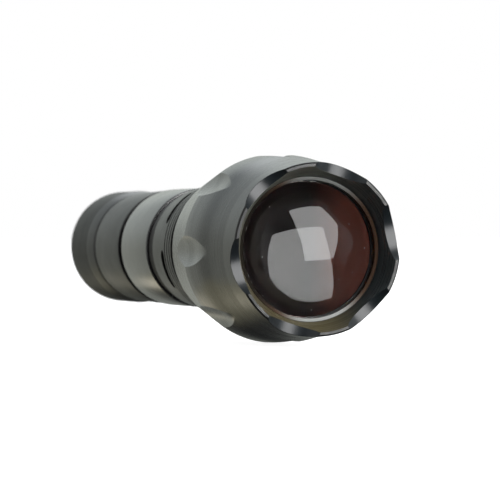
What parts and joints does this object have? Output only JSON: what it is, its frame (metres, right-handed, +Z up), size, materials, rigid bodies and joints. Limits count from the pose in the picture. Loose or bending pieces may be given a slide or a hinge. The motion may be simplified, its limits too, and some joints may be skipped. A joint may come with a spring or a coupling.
{
  "type": "tactical flashlight",
  "caption": "Handheld flashlight with a convex lens in a crenellated sliding head, slotted collar, plain battery tube and a tail cap with a rubber push button.",
  "frame": {"origin": "centre of the whole light: on the optical axis, half way between the bezel's front lands and the tail face", "axes": "+Y along the optical axis towards the tail button, so the lens faces -Y; +Z up with the light lying level"},
  "size_m": [0.0396, 0.155, 0.0396],
  "materials": {
    "anodised_aluminium": "satin hard anodised, fine turning lines",
    "dark_anodised": "satin hard anodised, darker",
    "bare_aluminium": "bright machined",
    "lens_glass": "polished",
    "black_rubber": "matt",
    "pill_brass": "turned",
    "white_board": "solder mask",
    "phosphor": "silicone over phosphor",
    "red_insulation": "satin",
    "black_insulation": "satin",
    "green_board": "solder mask",
    "spring_steel": "plated",
    "white_plastic": "moulded",
    "cell_wrap": "shrink wrap",
    "black_plastic": "moulded"
  },
  "bodies": {
    "barrel": {"neck_housing": "anodised_aluminium", "head_stop_ring": "spring_steel", "neck_seal_ring": "black_rubber", "led_pill": "pill_brass", "led_cover": "dark_anodised", "led_board": "white_board", "led_emitter": "phosphor", "led_lead_positive": "red_insulation", "led_lead_negative": "black_insulation", "driver_board": "green_board", "driver_spring": "spring_steel", "battery_tube": "anodised_aluminium", "battery_sleeve": "white_plastic", "battery_cell": "cell_wrap", "tail_o_ring": "black_rubber"},
    "zoom_ring": {"zoom_o_ring": "black_rubber"},
    "head": {"head_shell": "anodised_aluminium", "bezel_ring": "anodised_aluminium", "lens": "lens_glass", "lens_retaining_ring": "bare_aluminium", "lens_front_gasket": "black_rubber", "lens_rear_gasket": "black_rubber"},
    "tail": {"tail_cap": "dark_anodised", "tail_spring": "spring_steel", "switch_retaining_ring": "bare_aluminium", "switch_board": "green_board", "switch_housing": "black_plastic", "switch_spring": "spring_steel", "rubber_boot": "black_rubber"},
    "button": {"switch_plunger": "black_plastic"}
  },
  "joints": [
    {"name": "zoom_slide", "type": "slide", "parent": "barrel", "child": "zoom_ring", "axis": [0, -1, 0], "range_m": [-0.0064, 0.012]},
    {"name": "head_turn", "type": "hinge", "parent": "zoom_ring", "child": "head", "pos_m": [0, -0.0292, 0], "axis": [0, -1, 0], "continuous": true},
    {"name": "tail_cap_lockout", "type": "hinge", "parent": "barrel", "child": "tail", "pos_m": [0, 0.0575, 0], "axis": [0, 1, 0], "range_deg": [0, 90]},
    {"name": "button_press", "type": "slide", "parent": "tail", "child": "button", "axis": [0, -1, 0], "range_m": [0, 0.0014], "stiffness_N_per_m": 80, "deforming": ["switch_spring", "rubber_boot"]}
  ]
}
